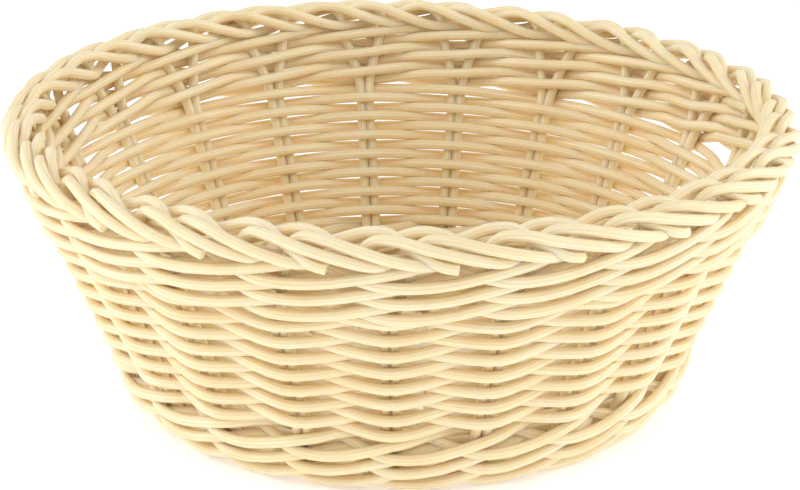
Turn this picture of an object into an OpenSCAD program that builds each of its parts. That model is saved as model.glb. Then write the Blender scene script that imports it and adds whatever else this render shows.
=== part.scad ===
// Round bread basket woven from plastic cord, in millimetres.
// The stakes run up the wall in pairs and their own ends are turned down as the rim border.

/* [Overall size] */
// Outer diameter over the rim border
rim_d = 236; // [200:1:290]
// Height from the table to the top of the border
basket_h = 92; // [76:1:112]
// Diameter of the flat base, measured where the stakes start to bend up
base_d = 145; // [120:1:175]

/* [Cord] */
// Diameter of the round plastic cord
cord_d = 3; // [2.4:0.1:3.6]
// Play left between two cords that cross
cord_play = 0.1; // [0.05:0.05:0.3]

/* [Weave] */
// Rounds of three-rod wale under the border
top_rounds = 3; // [2:1:4]
// Rounds of three-rod wale above the foot
foot_rounds = 3; // [2:1:4]
// Radius of the bend where the base turns up into the wall
bend_r = 9; // [7:0.5:14]

/* [Hidden] */
sides = 5;                                // flats around each cord
pairs = 21;                               // odd, so that one weaver can spiral
face_a = [0, 0, -6.1];                    // turns one pair of stakes to the front
cream = [0.95, 0.87, 0.68];
pitch = cord_d + cord_play;               // centre distance of two cords that touch
wale_pitch = 1.84 * pitch;                // height of one round of wale along the wall
border_h = 2.8 * pitch + cord_d / 2;      // border height above the wall top
border_w = 1.54 * pitch + cord_d / 2;     // border reach outside the wall line
base_z = 1.32 * pitch + 0.45 * cord_d;    // mid height of the base plane
base_r = base_d / 2;
top_z = basket_h - border_h;              // where the wall ends and the border starts
top_r = rim_d / 2 - border_w;
// tangent line from the bend to the wall top
bend_cz = base_z + bend_r;
reach = norm([top_r - base_r, top_z - bend_cz]);
lean = atan2(top_z - bend_cz, top_r - base_r) + asin(bend_r / reach);
wall_len = sqrt(reach * reach - bend_r * bend_r);
bend_len = bend_r * lean * PI / 180;
wall_u = base_r + bend_len;               // meridian length at the foot of the straight wall
top_u = wall_u + wall_len;
// bands along the meridian, from the rim down
top_u0 = top_u - top_rounds * wale_pitch;
edge_u0 = base_r - 0.5 * wale_pitch;
foot_u0 = edge_u0 + wale_pitch;
side_u0 = foot_u0 + foot_rounds * wale_pitch;
rows = floor((top_u0 - side_u0) / (pitch * 0.985));
row_pitch = (top_u0 - side_u0) / rows;
// base cords cross in a square, then fan out
cross_n = floor((pairs - 1) / 4);         // pairs in each arm of the cross
weave_r0 = 1.92 * pairs * pitch / PI;     // first radius with room for the base weaver
base_rows = floor((edge_u0 - weave_r0) / pitch) - 1;
base_pitch = (edge_u0 - weave_r0) / (base_rows + 1);
step = 360 / pairs;
rim_open = 0.2225;                        // how far each stake of a pair opens out, in pair spacings

// ---- meridian: distance u from the middle of the base, n outward from the stakes ----
function tilt(u) = u < base_r ? 0 : u < wall_u ? (u - base_r) / bend_r * 180 / PI : lean;
function mer_r(u) = u < base_r ? u : u < wall_u ? base_r + bend_r * sin(tilt(u))
    : base_r + bend_r * sin(lean) + (u - wall_u) * cos(lean);
function mer_z(u) = u < base_r ? base_z : u < wall_u ? bend_cz - bend_r * cos(tilt(u))
    : bend_cz - bend_r * cos(lean) + (u - wall_u) * sin(lean);
function at(a, u, n) = let (t = tilt(u), r = mer_r(u) + n * sin(t))
    [r * cos(a), r * sin(a), mer_z(u) - n * cos(t)];
// angle that a width w takes at meridian length u
function wide(w, u) = w / mer_r(u) * 180 / PI;

// ---- one cord swept along its own points ----
function unit(v) = v / norm(v);
function tang(p, i) = unit(p[min(i + 1, len(p) - 1)] - p[max(i - 1, 0)]);
function square_to(v, t) = unit(v - (v * t) * t);
function start_up(t) = square_to(abs(t[2]) < 0.9 ? [0, 0, 1] : [1, 0, 0], t);
module cord(p, d = cord_d) {
    n = len(p);
    ups = [for (i = 0, v = start_up(tang(p, 0)); i < n;
        v = i + 1 < n ? square_to(v, tang(p, i + 1)) : v, i = i + 1) v];
    pts = [for (i = [0 : n - 1]) let (t = tang(p, i), v = ups[i], w = cross(t, v))
        for (k = [0 : sides - 1]) p[i] + d / 2 * (cos(360 * k / sides) * v + sin(360 * k / sides) * w)];
    faces = concat(
        [[for (k = [0 : sides - 1]) k]],
        [for (i = [0 : n - 2], k = [0 : sides - 1]) let (a = i * sides + k, b = i * sides + (k + 1) % sides)
            each [[a, a + sides, b + sides], [a, b + sides, b]]],
        [[for (k = [sides - 1 : -1 : 0]) (n - 1) * sides + k]]);
    polyhedron(points = pts, faces = faces, convexity = 10);
}

// ---- plain weave: in front of one pair, behind the next ----
module plain_weaver(u0, step_u, rounds, lift, tight) {
    color(cream) cord([for (m = [0 : rounds * pairs - 1]) let (
            u = u0 + step_u * m / pairs, a = m * step, s = (m % 2 == 0) ? 1 : -1,
            da = wide(0.9 * pitch, u))
        each (tight ? [at(a, u, s * lift)]
            : [at(a - da, u, s * lift), at(a + da, u, s * lift)])]);
}

// ---- three-rod wale: in front of two pairs, behind one, three rods chasing ----
// each stroke as [pairs along, out, up]: across the front, then across the back
rim_stroke = [[-0.20, 0.98, 0.58], [0.20, 1.16, 0.38], [0.80, 1.22, -0.40], [1.20, 0.96, -0.52],
    [1.56, -0.96, -0.34], [2.42, -0.96, 0.36]];
foot_stroke = [[-0.25, 0.70, 0.68], [0.5, 2.1, 0.08], [1.25, 0.62, -0.70], [2, -1.6, -0.05]];
edge_stroke = [[-0.2, 1.0, 0.55], [0.5, 1.32, 0.05], [1.2, 0.95, -0.55], [2, -1.3, 0]];
// rounds lie level; each steps up to the next over its last two pairs
function level(x, rounds) = let (f = min(floor(x / pairs), rounds - 1), g = x - f * pairs)
    f < rounds - 1 ? f + max(0, g - (pairs - 2)) / 2 : f;
// the upper wale settles down onto the spiral of plain weave below it, each round a little less
function settle(x, rounds) = let (f = min(floor(x / pairs), rounds - 1), g = x - f * pairs)
    0.9 * row_pitch * (1 - f / rounds) * min(g / (pairs - 2), max(0, pairs - g) / 2, 1);
// hand = 1 lays the strokes one way, -1 the other way
module wale_rod(u0, rounds, j, hand, stroke, sink = 0) {
    color(cream) cord([for (m = [0 : rounds * pairs / 3 - (rounds > 1 ? 2 : 1)], w = stroke) let (
            x = 3 * m + j + w[0],
            u = u0 + wale_pitch * (0.5 + level(max(x, 0), rounds)) - sink * settle(max(x, 0), rounds))
        at(hand * x * step, u + w[2] * pitch, w[1] * pitch)]);
}

// ---- border: shape of one stake end past the wall top, in (units along, out, up) ----
border_path = [
    [0.00, 0.00, 0.10], [0.04, -0.10, 1.30], [0.30, 0.46, 2.43], [1.00, 1.03, 1.76],
    [1.75, 1.54, 1.10], [2.20, 0.66, 0.44], [2.60, -0.22, 0.54], [3.00, -1.10, 0.69],
    [3.60, -1.10, 1.40], [4.20, -1.08, 2.10], [4.70, -1.07, 2.80]];
// a, along the rim in half pair spacings, out and up in cord pitches
function rim_at(a, o, h) = let (r = top_r + o * pitch)
    [r * cos(a), r * sin(a), top_z + h * pitch];
function border(a) = [for (q = border_path) rim_at(a + q[0] * step / 2, q[1], q[2])];

// wall part of one stake: close to its partner low down, opened out at the rim
function open_up(u) = u < top_u0 ? 0 : (u - top_u0) / (top_u - top_u0);
function stake_a(k, s, u) = k * step + s * (wide(0.5 * pitch, u) * (1 - open_up(u))
    + step * rim_open * open_up(u));
function wall(k, s) = [for (u = [base_r, base_r + bend_len * 0.33, base_r + bend_len * 0.67, wall_u,
        top_u0, top_u]) at(stake_a(k, s, u), u, 0)];
// radial run under the base weave, from the fan to the bend
function run_out(k, s) = [for (u = [weave_r0 * 0.93]) at(stake_a(k, s, u), u, 0)];
function turn(p) = [for (i = [len(p) - 1 : -1 : 0]) p[i]];
function half(k, s) = concat(run_out(k, s), wall(k, s), border(stake_a(k, s, top_u)));
// a long cord runs border, wall, base, wall, border
// cords of arm a lie on top in the cross, cords of arm b lie below; q numbers them across the arm
module long_cord(q, arm) {
    p = floor(q / 2);
    s = q % 2 == 0 ? -1 : 1;
    mid = floor(cross_n / 2);
    off = (q - cross_n + 0.5) * pitch;
    w = (cross_n + 0.9) * pitch - off * off * 0.045 / pitch;
    h = base_z + (arm == "a" ? 0.5 : -0.5) * pitch;
    near = arm == "a" ? p - mid : 2 * cross_n - mid - 1 - p;
    far = arm == "a" ? 3 * cross_n - mid - 1 - p : 3 * cross_n - mid + p;
    inner = arm == "a" ? [[-w, off, h], [w, off, h]] : [[off, -w, h], [off, w, h]];
    s_near = arm == "a" ? s : -s;
    color(cream) cord(concat(turn(half(far, -s_near)), inner, half(near, s_near)));
}
// the odd pair is one cord folded in two at its inner end
module folded_cord(k) {
    u = weave_r0 * 0.80;
    color(cream) cord(concat(turn(half(k, -1)),
        [at(k * step - wide(0.5 * pitch, u), u, 0), at(k * step + wide(0.5 * pitch, u), u, 0)],
        half(k, 1)));
}

module base_weaver() plain_weaver(weave_r0, base_pitch, base_rows, pitch, false);
module side_weaver() plain_weaver(side_u0 + row_pitch / 2, row_pitch, rows - 1, pitch, false);
module edge_rod(j) wale_rod(edge_u0, 1, j, 1, edge_stroke);
module foot_rod(j) wale_rod(foot_u0, foot_rounds, j, -1, foot_stroke);
module rim_rod(j) wale_rod(top_u0, top_rounds, j, -1, rim_stroke, 1);

rotate(face_a) long_cord(0, "a");  // long_stake_a1
rotate(face_a) long_cord(1, "a");  // long_stake_a2
rotate(face_a) long_cord(2, "a");  // long_stake_a3
rotate(face_a) long_cord(3, "a");  // long_stake_a4
rotate(face_a) long_cord(4, "a");  // long_stake_a5
rotate(face_a) long_cord(5, "a");  // long_stake_a6
rotate(face_a) long_cord(6, "a");  // long_stake_a7
rotate(face_a) long_cord(7, "a");  // long_stake_a8
rotate(face_a) long_cord(8, "a");  // long_stake_a9
rotate(face_a) long_cord(9, "a");  // long_stake_a10
rotate(face_a) long_cord(0, "b");  // long_stake_b1
rotate(face_a) long_cord(1, "b");  // long_stake_b2
rotate(face_a) long_cord(2, "b");  // long_stake_b3
rotate(face_a) long_cord(3, "b");  // long_stake_b4
rotate(face_a) long_cord(4, "b");  // long_stake_b5
rotate(face_a) long_cord(5, "b");  // long_stake_b6
rotate(face_a) long_cord(6, "b");  // long_stake_b7
rotate(face_a) long_cord(7, "b");  // long_stake_b8
rotate(face_a) long_cord(8, "b");  // long_stake_b9
rotate(face_a) long_cord(9, "b");  // long_stake_b10
rotate(face_a) folded_cord(4 * cross_n - floor(cross_n / 2));  // folded_stake
rotate(face_a) base_weaver();
rotate(face_a) side_weaver();
rotate(face_a) edge_rod(0);  // edge_rod_1
rotate(face_a) edge_rod(1);  // edge_rod_2
rotate(face_a) edge_rod(2);  // edge_rod_3
rotate(face_a) foot_rod(0);  // foot_rod_1
rotate(face_a) foot_rod(1);  // foot_rod_2
rotate(face_a) foot_rod(2);  // foot_rod_3
rotate(face_a) rim_rod(0);  // rim_rod_1
rotate(face_a) rim_rod(1);  // rim_rod_2
rotate(face_a) rim_rod(2);  // rim_rod_3
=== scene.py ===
# %% [markdown]
# A round bread basket is woven from one kind of plastic cord. Nothing is glued:
# stakes stand in pairs, weavers run round them, and the stakes' own ends make
# the rim. In Blender each cord is one tube swept along its own path, because
# the look comes from where the cords pass over and under each other.
import math
import bpy
import numpy as np
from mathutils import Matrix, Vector


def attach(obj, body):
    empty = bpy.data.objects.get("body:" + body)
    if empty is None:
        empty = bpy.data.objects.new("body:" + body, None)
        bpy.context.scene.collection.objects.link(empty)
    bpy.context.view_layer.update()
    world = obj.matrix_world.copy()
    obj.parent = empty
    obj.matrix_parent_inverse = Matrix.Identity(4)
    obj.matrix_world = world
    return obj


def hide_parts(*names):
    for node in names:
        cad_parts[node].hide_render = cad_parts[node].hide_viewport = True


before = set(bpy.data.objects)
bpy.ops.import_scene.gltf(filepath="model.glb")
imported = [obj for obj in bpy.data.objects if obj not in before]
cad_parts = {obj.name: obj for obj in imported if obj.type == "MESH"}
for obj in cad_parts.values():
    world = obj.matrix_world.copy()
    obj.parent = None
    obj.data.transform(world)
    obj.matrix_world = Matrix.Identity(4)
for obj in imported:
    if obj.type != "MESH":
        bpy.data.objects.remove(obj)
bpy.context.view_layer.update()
print("CAD nodes:", len(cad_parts))

# %% [markdown]
# The basket's sizes come first, in millimetres. They are the same numbers that
# the CAD model uses, so every tube lies close to its plain CAD cord.

# %% sizes
MM = 0.001                      # metres in a millimetre
HEIGHT = 92.0
RIM_R = 118.0                   # outer radius of the border
CORD = 3.0                      # cord thickness
CORD_R = 0.52 * CORD            # a little over half, so neighbours press together at their ribs
RIBS = 9                        # fine ribs round each cord
RIB_DEPTH = 0.045               # share of the radius by which ribs rise and grooves fall
PITCH = 3.1                     # two cords that touch, centre to centre
PAIRS = 21                      # odd, so that one weaver can spiral
STEP = 360.0 / PAIRS
FACE = -6.1                     # turns one pair of stakes to the front
BASE_R = 72.5                   # where the stakes start to bend up
BEND_R = 9.0
BASE_Z = 1.32 * PITCH + 0.45 * CORD
TOP_Z = HEIGHT - (2.8 * PITCH + CORD / 2)
TOP_R = RIM_R - (1.54 * PITCH + CORD / 2)
WALE = 1.84 * PITCH             # height of one round of wale
WALE_ROUNDS = 3                 # above the foot, and again under the rim
PAIR_OPEN = 0.205               # how far each stake of a pair opens at the rim, in pair spacings
SAG = 2.0                       # how far the rim sinks at its lowest
SAG_AT = 50                     # direction of the sag, in degrees
FOOT_LIFT = 0.30                # keeps the foot clear of the table
rng = np.random.default_rng(7)

# %% [markdown]
# Every cord is placed on one curve: the line that a stake follows from the
# middle of the base, round the bend and up the wall. A point is then an angle
# round the basket, a length along that line, and a distance in front of it.

# %% the line of a stake
cz = BASE_Z + BEND_R
reach = math.hypot(TOP_R - BASE_R, TOP_Z - cz)
LEAN = math.degrees(math.atan2(TOP_Z - cz, TOP_R - BASE_R) + math.asin(BEND_R / reach))
WALL_U = BASE_R + BEND_R * math.radians(LEAN)
TOP_U = WALL_U + math.sqrt(reach ** 2 - BEND_R ** 2)
RIM_U = TOP_U - WALE_ROUNDS * WALE
EDGE_U = BASE_R - 0.5 * WALE
FOOT_U = EDGE_U + WALE
SIDE_U = FOOT_U + WALE_ROUNDS * WALE
ROWS = math.floor((RIM_U - SIDE_U) / (PITCH * 0.985))
ROW = (RIM_U - SIDE_U) / ROWS
WEAVE_R = 1.92 * PAIRS * PITCH / math.pi
BASE_ROWS = math.floor((EDGE_U - WEAVE_R) / PITCH) - 1
BASE_ROW = (EDGE_U - WEAVE_R) / (BASE_ROWS + 1)
print("wall leans %.1f degrees, %d rows of plain weave" % (90 - LEAN, ROWS))


def meridian(u):
    """Radius, height and tilt in radians of the stake line at length u."""
    u = np.asarray(u, float)
    t = np.radians(LEAN) * np.clip((u - BASE_R) / (WALL_U - BASE_R), 0, 1)
    over = np.maximum(u - WALL_U, 0)
    r = np.minimum(u, BASE_R) + BEND_R * np.sin(t) + over * math.cos(math.radians(LEAN))
    z = cz - BEND_R * np.cos(t) + over * math.sin(math.radians(LEAN))
    return r, z, t


def at(a, u, n):
    """Points at angle a in degrees, length u, and n outward from the stakes."""
    r, z, t = meridian(u)
    a = np.radians(np.asarray(a, float) + FACE)
    r = r + n * np.sin(t)
    return np.stack([r * np.cos(a), r * np.sin(a), z - n * np.cos(t)], -1)


# %% [markdown]
# A cord bends in smooth curves, so each path is given by a few knots in angle,
# length and distance, and a spline joins them. The tube itself carries the fine
# ribs that the cord is extruded with: its outline is a circle with ridges.

# %% splines and tubes
MEAN_R = 95.0                   # turns an angle into millimetres, near enough for spacing
TINY = 1e-6                     # keeps a division safe where two knots meet


def along_wall(k):
    """A knot (angle, length, distance) roughly in millimetres, for spacing."""
    return np.array([math.radians(k[0]) * MEAN_R, k[1], k[2]])


def spline(knots, spacing=2.0, measure=along_wall):
    """A centripetal Catmull-Rom curve through the knots, with points about spacing apart."""
    k = np.asarray(knots, float)
    k = np.concatenate([[2 * k[0] - k[1]], k, [2 * k[-1] - k[-2]]])
    out = []
    for i in range(1, len(k) - 2):
        p0, p1, p2, p3 = k[i - 1:i + 3]
        ends = ((p0, p1), (p1, p2), (p2, p3))
        d0, d1, d2 = (math.sqrt(np.linalg.norm(measure(b) - measure(a)) + TINY) for a, b in ends)
        n = max(2, int(math.ceil((d1 * d1 - TINY) / spacing)))
        t = (np.arange(n) / n)[:, None]
        m1 = (p2 - p1) + d1 * ((p1 - p0) / d0 - (p2 - p0) / (d0 + d1))
        m2 = (p2 - p1) + d1 * ((p3 - p2) / d2 - (p3 - p1) / (d1 + d2))
        out.append((2 * t ** 3 - 3 * t ** 2 + 1) * p1 + (t ** 3 - 2 * t ** 2 + t) * m1
                   + (3 * t ** 2 - 2 * t ** 3) * p2 + (t ** 3 - t ** 2) * m2)
    out.append(k[-2:-1])
    return np.concatenate(out)


def slump(p):
    """The rim sinks at the back right, and the foot is lifted just clear of the table."""
    a = np.arctan2(p[:, 1], p[:, 0]) - math.radians(SAG_AT)
    high = p[:, 2] / HEIGHT
    q = p.copy()
    q[:, 2] -= SAG * high ** 2 * np.maximum(0, np.cos(a)) ** 2
    q[:, 2] += FOOT_LIFT * (1.0 - high)
    return q


END_SIZE = 0.86                 # a cut end is a little narrower than its cord
END_REACH = 0.25                # and stands this far past the last ring


def tube(name, pts):
    """A mesh tube with ridges, along pts in millimetres."""
    p = slump(np.asarray(pts, float))
    n, sides = len(p), 2 * RIBS
    t = np.gradient(p, axis=0)
    t /= np.linalg.norm(t, axis=1)[:, None]
    v = np.zeros_like(p)
    up = np.array([0, 0, 1.0]) if abs(t[0, 2]) < 0.9 else np.array([1.0, 0, 0])
    for i in range(n):
        up = up - (up @ t[i]) * t[i]
        up /= np.linalg.norm(up)
        v[i] = up
    w = np.cross(t, v)
    run = np.concatenate([[0], np.cumsum(np.linalg.norm(np.diff(p, axis=0), axis=1))])
    a = 2 * math.pi * np.arange(sides) / sides
    r = CORD_R * (1 + RIB_DEPTH * np.where(np.arange(sides) % 2 == 0, 1, -1))
    ring = p[:, None] + (r * np.cos(a))[:, None] * v[:, None] + (r * np.sin(a))[:, None] * w[:, None]
    # cut ends: one smaller ring at each end, then the cap
    ends = [ring[i] * END_SIZE + p[i] * (1 - END_SIZE) + way * END_REACH * t[i]
            for i, way in ((0, -1), (-1, 1))]
    ring = np.concatenate([ends[:1], ring, ends[1:]]) * MM
    run = np.concatenate([[run[0] - 0.3], run, [run[-1] + 0.3]])
    m = len(ring)
    i, k = np.meshgrid(np.arange(m - 1), np.arange(sides), indexing="ij")
    j = (k + 1) % sides
    near, far = i * sides, (i + 1) * sides
    quads = np.stack([near + k, near + j, far + j, far + k], -1).reshape(-1, 4)
    caps = [list(range(sides - 1, -1, -1)), list(range((m - 1) * sides, m * sides))]
    faces = quads.tolist() + caps
    mesh = bpy.data.meshes.new(name)
    mesh.from_pydata(ring.reshape(-1, 3).tolist(), [], faces)
    uv = mesh.uv_layers.new(name="along")
    uvs = np.zeros((len(mesh.loops), 2), np.float32)
    q = np.stack([np.stack([k, run[i]], -1), np.stack([k + 1, run[i]], -1),
                  np.stack([k + 1, run[i + 1]], -1), np.stack([k, run[i + 1]], -1)], 2).reshape(-1, 2)
    uvs[:len(q), 0] = q[:, 0] / sides
    uvs[:len(q), 1] = q[:, 1] * MM
    uv.data.foreach_set("uv", uvs.ravel())
    mesh.polygons.foreach_set("use_smooth", [True] * (len(faces) - 2) + [False, False])
    mesh.update()
    obj = bpy.data.objects.new(name, mesh)
    bpy.context.scene.collection.objects.link(obj)
    return obj


made = []


def cord(name, pts, node):
    """One cord of the basket: it stands for its CAD node and rides on the basket."""
    obj = tube(name, pts)
    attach(obj, "root")
    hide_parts(node)
    made.append(obj)


# %% [markdown]
# The side is plain weave. One long weaver spirals up, in front of one pair of
# stakes and behind the next. Because the number of pairs is odd, each round
# falls the other way from the one below it, with no second weaver needed.

# %% plain weavers
def plain_path(u0, rise, strokes, flat):
    """A spiral of strokes, each flat over its pair for flat millimetres to either side."""
    knots = []
    for m in range(strokes):
        u = u0 + rise * m / PAIRS
        side = 1 if m % 2 == 0 else -1
        da = math.degrees(flat / float(meridian(u)[0]))
        u += rng.normal(0, 0.10, 3)[0]
        knots += [(m * STEP - da, u, side * (PITCH - 0.1)), (m * STEP, u, side * (PITCH + 0.25)),
                  (m * STEP + da, u, side * (PITCH - 0.1))]
    k = spline(knots)
    return at(k[:, 0], k[:, 1], k[:, 2])


# the side weaver runs two strokes past its last full round, in under the wale
side_path = plain_path(SIDE_U + ROW / 2, ROW, (ROWS - 1) * PAIRS + 2, 3.4)
cord("side_weaver_cord", side_path, "side_weaver")
base_path = plain_path(WEAVE_R, BASE_ROW, BASE_ROWS * PAIRS, 2.4)
cord("base_weaver_cord", base_path, "base_weaver")
print("plain weavers:", [len(o.data.vertices) for o in made])


# %% [markdown]
# Above the foot and under the rim the weave changes to three-rod wale. Three
# cords chase each other, each in front of two pairs and behind one. A cord dives
# in right after its second pair, so two cords lie in front of every pair but
# only one between the pairs. The single round at the edge twists the other way.

# %% wale
STEP_UP = 2                     # pairs over which a round climbs to the next
STOP_SHORT = 0.7                # pairs before its end where a full-length cord is cut


def place(x, rounds):
    """The round that pair x is in, counted from 0, and the pairs gone by in it."""
    done = min(math.floor(x / PAIRS), rounds - 1)
    return done, x - done * PAIRS


def level(x, rounds, over):
    """Rounds lie level and climb at their end; the last climbs by over a pair instead."""
    done, g = place(x, rounds)
    climb = max(0.0, g - (PAIRS - STEP_UP))
    return done + climb / STEP_UP if done < rounds - 1 else done + over * climb


def settle(x, rounds):
    """How far a round sinks onto the spiral of plain weave below it."""
    done, g = place(x, rounds)
    ease = min(g / (PAIRS - STEP_UP), max(0.0, PAIRS - g) / STEP_UP, 1.0)
    return 0.9 * ROW * (1 - done / rounds) * ease


def wale_path(u0, rounds, j, hand, stroke, sink=0.0, over=0.0):
    """Cord j of a wale. With over, it runs to its last pair and ends there, under the rim."""
    knots = []
    short = 1 if rounds > 1 and over == 0 else 0
    for m in range(rounds * PAIRS // 3 - short):
        for (x, n, v) in stroke:
            x = 3 * m + j + x
            if over > 0 and x > rounds * PAIRS - STOP_SHORT:
                break
            u = u0 + WALE * (0.5 + level(max(x, 0), rounds, over)) - sink * settle(max(x, 0), rounds)
            knots.append((hand * x * STEP, u + v * PITCH + rng.normal(0, 0.06), n * PITCH))
    k = spline(knots)
    return at(k[:, 0], k[:, 1], k[:, 2])


# one stroke as (pairs along, out, up), out and up in cord pitches
RIM = [(-0.42, -0.25, 1.05), (-0.18, 0.62, 0.95), (0.00, 0.98, 0.72), (0.25, 1.15, 0.22),
       (0.50, 1.28, -0.26), (0.74, 1.38, -0.50), (1.00, 1.36, -0.46), (1.18, 0.90, -0.32),
       (1.42, -0.20, -0.08), (1.65, -1.00, 0.08), (2.00, -1.15, 0.35), (2.32, -1.00, 0.78)]
FOOT = [(-0.42, -0.10, 1.05), (-0.18, 0.72, 0.98), (0.00, 1.05, 0.78), (0.25, 1.30, 0.28),
        (0.50, 1.45, -0.20), (0.74, 1.48, -0.50), (1.00, 1.36, -0.52), (1.18, 0.92, -0.40),
        (1.42, -0.15, -0.14), (1.65, -0.92, 0.02), (2.00, -1.15, 0.28), (2.30, -0.92, 0.72)]
EDGE = [(-0.2, 1.0, 0.55), (0.5, 1.32, 0.05), (1.2, 0.95, -0.55), (1.6, 0, -0.5),
        (2.0, -1.1, 0), (2.4, 0, 0.5)]
WALES = [("edge", EDGE_U, 1, 1, EDGE, 0.0, 0.0), ("foot", FOOT_U, WALE_ROUNDS, -1, FOOT, 0.0, 0.0),
         ("rim", RIM_U, WALE_ROUNDS, -1, RIM, 1.0, 0.3)]
for band, u0, rounds, hand, stroke, sink, over in WALES:
    for j in range(3):
        path = wale_path(u0, rounds, j, hand, stroke, sink, over)
        cord("%s_cord_%d" % (band, j + 1), path, "%s_rod_%d" % (band, j + 1))
print("wale cords:", len(made) - 2)

# %% [markdown]
# The stakes are long cords. Each crosses the base, bends up at its edge, stands
# in the wall beside its partner, and is then turned down into the rim: out in
# front of its neighbours, in under them, and up again on the inside.

# %% border shape
# one stake end as (half pair spacings along, out, up), out and up in cord pitches
BORDER = [(0.00, 0.00, 0.10), (0.03, -0.05, 1.30), (0.22, 0.30, 2.25), (0.60, 0.95, 2.38),
          (1.05, 1.38, 1.80), (1.70, 1.68, 0.90), (2.20, 1.10, 0.20), (2.60, -0.10, 0.20),
          (3.00, -1.10, 0.70), (3.60, -1.35, 1.70), (4.10, -1.00, 2.60), (4.45, -0.35, 2.60)]
# the cut ends: one stake of each pair stops inside the border, the other shows its tip below it
TAIL = {1: [(4.80, 0.20, 1.75), (5.05, 0.55, 1.15)],
        -1: [(4.72, 0.35, 1.70), (5.00, 0.95, 0.90), (5.25, 1.40, 0.28), (5.48, 1.52, 0.02)]}


def rim_at(a, o, h):
    """A point of the border: angle in degrees, out and up from the top of the wall in pitches."""
    r = TOP_R + np.asarray(o) * PITCH
    a = np.radians(np.asarray(a, float) + FACE)
    return np.stack([r * np.cos(a), r * np.sin(a), TOP_Z + np.asarray(h) * PITCH], -1)


def smooth(pts):
    """The same curve through points in space, a little finer."""
    return spline(pts, 1.5, lambda p: p)


def stake_angle(k, s, u):
    """Stake s of pair k: close to its partner low down, opened out at the rim."""
    r = float(meridian(u)[0])
    o = min(max((u - RIM_U) / (TOP_U - RIM_U), 0), 1)
    return k * STEP + s * (math.degrees(0.5 * PITCH / r) * (1 - o) + STEP * PAIR_OPEN * o)


def half(k, s):
    """From the fan of the base, out, up the wall and round the border."""
    bend, band = WALL_U - BASE_R, TOP_U - RIM_U
    us = [WEAVE_R * 0.93, WEAVE_R * 1.3, BASE_R, BASE_R + 0.33 * bend, BASE_R + 0.67 * bend,
          WALL_U, WALL_U + 12, 0.5 * (WALL_U + RIM_U), RIM_U - 2, RIM_U + 0.3 * band,
          RIM_U + 0.65 * band, TOP_U - 1]
    pts = [at(stake_angle(k, s, u), u, 0.0) for u in us]
    a = stake_angle(k, s, TOP_U)
    turn = BORDER + TAIL[s]
    jit = rng.normal(0, 0.035, (len(turn), 2))
    pts += [rim_at(a + q[0] * STEP / 2, q[1] + j[0], q[2] + j[1]) for q, j in zip(turn, jit)]
    return pts


# %% long stakes
N = (PAIRS - 1) // 4            # pairs in each arm of the cross
MID = N // 2


def turned(x, y, z):
    """A point of the cross, turned so that one pair faces the front."""
    a = math.radians(FACE)
    return np.array([x * math.cos(a) - y * math.sin(a), x * math.sin(a) + y * math.cos(a), z])


for arm in "ab":
    for q in range(2 * N):
        p, s = q // 2, -1 if q % 2 == 0 else 1
        off = (q - N + 0.5) * PITCH
        w = (N + 0.9) * PITCH - off * off * 0.045 / PITCH
        h = BASE_Z + (0.5 if arm == "a" else -0.5) * PITCH
        near = p - MID if arm == "a" else 2 * N - MID - 1 - p
        far = 3 * N - MID - 1 - p if arm == "a" else 3 * N - MID + p
        line = [(-w, off, h), (-w / 2, off, h), (0, off, h), (w / 2, off, h), (w, off, h)]
        if arm == "b":
            line = [(y, x, z) for (x, y, z) in line]
        s_near = s if arm == "a" else -s
        pts = half(far, -s_near)[::-1] + [turned(*c) for c in line] + half(near, s_near)
        cord("stake_%s%d_cord" % (arm, q + 1), smooth(pts), "long_stake_%s%d" % (arm, q + 1))

K = 4 * N - MID
u = WEAVE_R * 0.80
fold = [at(K * STEP + e * math.degrees(0.5 * PITCH / u), u, 0.0) for e in (-1, 1)]
cord("folded_stake_cord", smooth(half(K, -1)[::-1] + fold + half(K, 1)), "folded_stake")
print("cords:", len(made), "vertices:", sum(len(o.data.vertices) for o in made))
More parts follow.
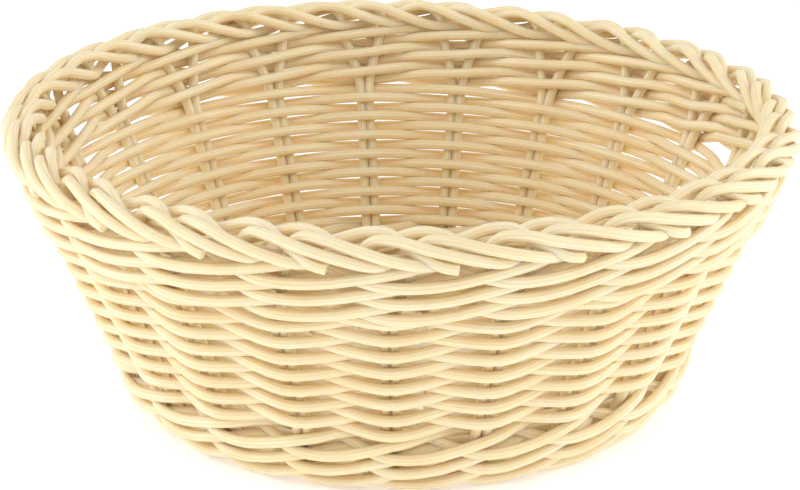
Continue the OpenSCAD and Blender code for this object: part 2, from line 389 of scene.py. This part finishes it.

# %% [markdown]
# The cord is cream polypropylene. Light goes a little way into it, so gaps
# glow warm instead of going grey, and its surface has a soft gloss. Thin
# lighter and darker streaks run along it between the ribs, and painted shade darkens the grooves.

# %% cord material
def cord_material(name, tint):
    """Ribbed translucent cord in one tint, with streaks, soft blotches and painted shade darkening
    the grooves.
    """
    mat = bpy.data.materials.new(name)
    mat.use_nodes = True
    nt = mat.node_tree
    nt.nodes.clear()
    out = nt.nodes.new("ShaderNodeOutputMaterial")
    bsdf = nt.nodes.new("ShaderNodeBsdfPrincipled")
    nt.links.new(bsdf.outputs[0], out.inputs[0])
    uv = nt.nodes.new("ShaderNodeUVMap")
    uv.uv_map = "along"
    # fine streaks: the noise is stretched a long way along the cord
    stretch = nt.nodes.new("ShaderNodeMapping")
    stretch.inputs["Scale"].default_value = (36.0, 14.0, 1.0)
    streak = nt.nodes.new("ShaderNodeTexNoise")
    streak.inputs["Scale"].default_value = 1.0
    streak.inputs["Detail"].default_value = 2.0
    nt.links.new(uv.outputs[0], stretch.inputs[0])
    nt.links.new(stretch.outputs[0], streak.inputs[0])
    # soft blotches: the colour drifts slowly over the basket
    geo = nt.nodes.new("ShaderNodeTexCoord")
    blotch = nt.nodes.new("ShaderNodeTexNoise")
    blotch.inputs["Scale"].default_value = 60.0
    nt.links.new(geo.outputs["Object"], blotch.inputs[0])
    add = nt.nodes.new("ShaderNodeMath")
    add.operation = "MULTIPLY_ADD"
    add.inputs[1].default_value = 0.4
    nt.links.new(blotch.outputs[0], add.inputs[0])
    nt.links.new(streak.outputs[0], add.inputs[2])
    ramp = nt.nodes.new("ShaderNodeValToRGB")
    ramp.color_ramp.elements[0].position = 0.50
    ramp.color_ramp.elements[0].color = (tint[0] * 0.96, tint[1] * 0.90, tint[2] * 0.78, 1)
    ramp.color_ramp.elements[1].position = 0.86
    pale = [min(1, c * gain) for c, gain in zip(tint, (1.04, 1.08, 1.18))]
    ramp.color_ramp.elements[1].color = (*pale, 1)
    nt.links.new(add.outputs[0], ramp.inputs[0])
    # painted shade: the grooves between the ribs are coloured darker and warmer, as if in shadow
    split = nt.nodes.new("ShaderNodeSeparateXYZ")
    nt.links.new(uv.outputs[0], split.inputs[0])
    turns = nt.nodes.new("ShaderNodeMath")
    turns.operation = "MULTIPLY"
    turns.inputs[1].default_value = 2 * math.pi * RIBS
    nt.links.new(split.outputs[0], turns.inputs[0])
    wave = nt.nodes.new("ShaderNodeMath")
    wave.operation = "COSINE"
    nt.links.new(turns.outputs[0], wave.inputs[0])
    groove_shade = nt.nodes.new("ShaderNodeMapRange")
    groove_shade.inputs["From Min"].default_value = 0.2
    groove_shade.inputs["From Max"].default_value = -1.0
    groove_shade.inputs["To Max"].default_value = 0.35
    nt.links.new(wave.outputs[0], groove_shade.inputs[0])
    # painted shade colour: a darker, warmer copy of the tint, mixed in at the grooves
    groove_shade_mix = nt.nodes.new("ShaderNodeMix")
    groove_shade_mix.data_type = "RGBA"
    groove_shade_mix.inputs[7].default_value = (tint[0] * 0.86, tint[1] * 0.74, tint[2] * 0.55, 1)
    nt.links.new(groove_shade.outputs[0], groove_shade_mix.inputs[0])
    nt.links.new(ramp.outputs[0], groove_shade_mix.inputs[6])
    nt.links.new(groove_shade_mix.outputs[2], bsdf.inputs["Base Color"])
    bsdf.inputs["Roughness"].default_value = 0.42
    bsdf.inputs["Specular IOR Level"].default_value = 0.40
    bsdf.inputs["Coat Weight"].default_value = 0.20
    bsdf.inputs["Coat Roughness"].default_value = 0.35
    bsdf.inputs["Subsurface Weight"].default_value = 0.60
    bsdf.inputs["Subsurface Radius"].default_value = (1.0, 0.62, 0.20)
    bsdf.inputs["Subsurface Scale"].default_value = 0.004
    return mat


weaver_mat = cord_material("cream cord", (0.95, 0.785, 0.53))
stake_mat = cord_material("cream stake cord", (0.955, 0.80, 0.55))
for o in made:
    o.data.materials.append(stake_mat if "stake" in o.name else weaver_mat)
print("materials on", len(made), "cords")

# %% [markdown]
# The basket stands on a plain white floor in soft light from all round. Two
# lamps at the sides make its flanks the brightest part, and one high in front
# shines over the near rim onto the inside of the far wall.

# %% floor, light and camera
bpy.ops.mesh.primitive_plane_add(size=6.0)
floor = bpy.context.object
floor.name = "floor"
white = bpy.data.materials.new("pale floor")
white.use_nodes = True
paper = white.node_tree.nodes["Principled BSDF"]
paper.inputs["Base Color"].default_value = (0.93, 0.94, 0.95, 1)
paper.inputs["Roughness"].default_value = 0.6
paper.inputs["Emission Color"].default_value = (1, 1, 1, 1)
paper.inputs["Emission Strength"].default_value = 0.34
floor.data.materials.append(white)

world = bpy.data.worlds.new("studio")
bpy.context.scene.world = world
world.use_nodes = True
sky = world.node_tree.nodes["Background"]
sky.inputs["Color"].default_value = (1, 1, 1, 1)
sky.inputs["Strength"].default_value = 0.72


def lamp(name, spot, aim, size, watts):
    """A square soft lamp at spot, turned towards aim."""
    data = bpy.data.lights.new(name, "AREA")
    data.size, data.energy = size, watts
    obj = bpy.data.objects.new(name, data)
    bpy.context.scene.collection.objects.link(obj)
    obj.location = spot
    obj.rotation_euler = (Vector(aim) - Vector(spot)).to_track_quat("-Z", "Y").to_euler()


lamp("left", (-1.0, 0.05, 0.45), (0, 0, 0.06), 0.6, 3.8)
lamp("right", (1.0, 0.05, 0.45), (0, 0, 0.06), 0.6, 3.8)
lamp("front", (-0.1, -0.8, 0.85), (0, 0.05, 0.06), 0.6, 1.6)

cam_data = bpy.data.cameras.new("camera")
cam = bpy.data.objects.new("camera", cam_data)
bpy.context.scene.collection.objects.link(cam)
cam_data.sensor_width = 36.0
cam_data.lens = 129.6
cam_data.shift_x = -0.0014
cam_data.clip_start, cam_data.clip_end = 0.05, 20
cam.location = (0.0, -0.817, 0.3547)
cam.rotation_euler = (math.radians(90 - 20.75), 0, 0)
bpy.context.scene.camera = cam
bpy.context.scene.view_settings.view_transform = "Standard"
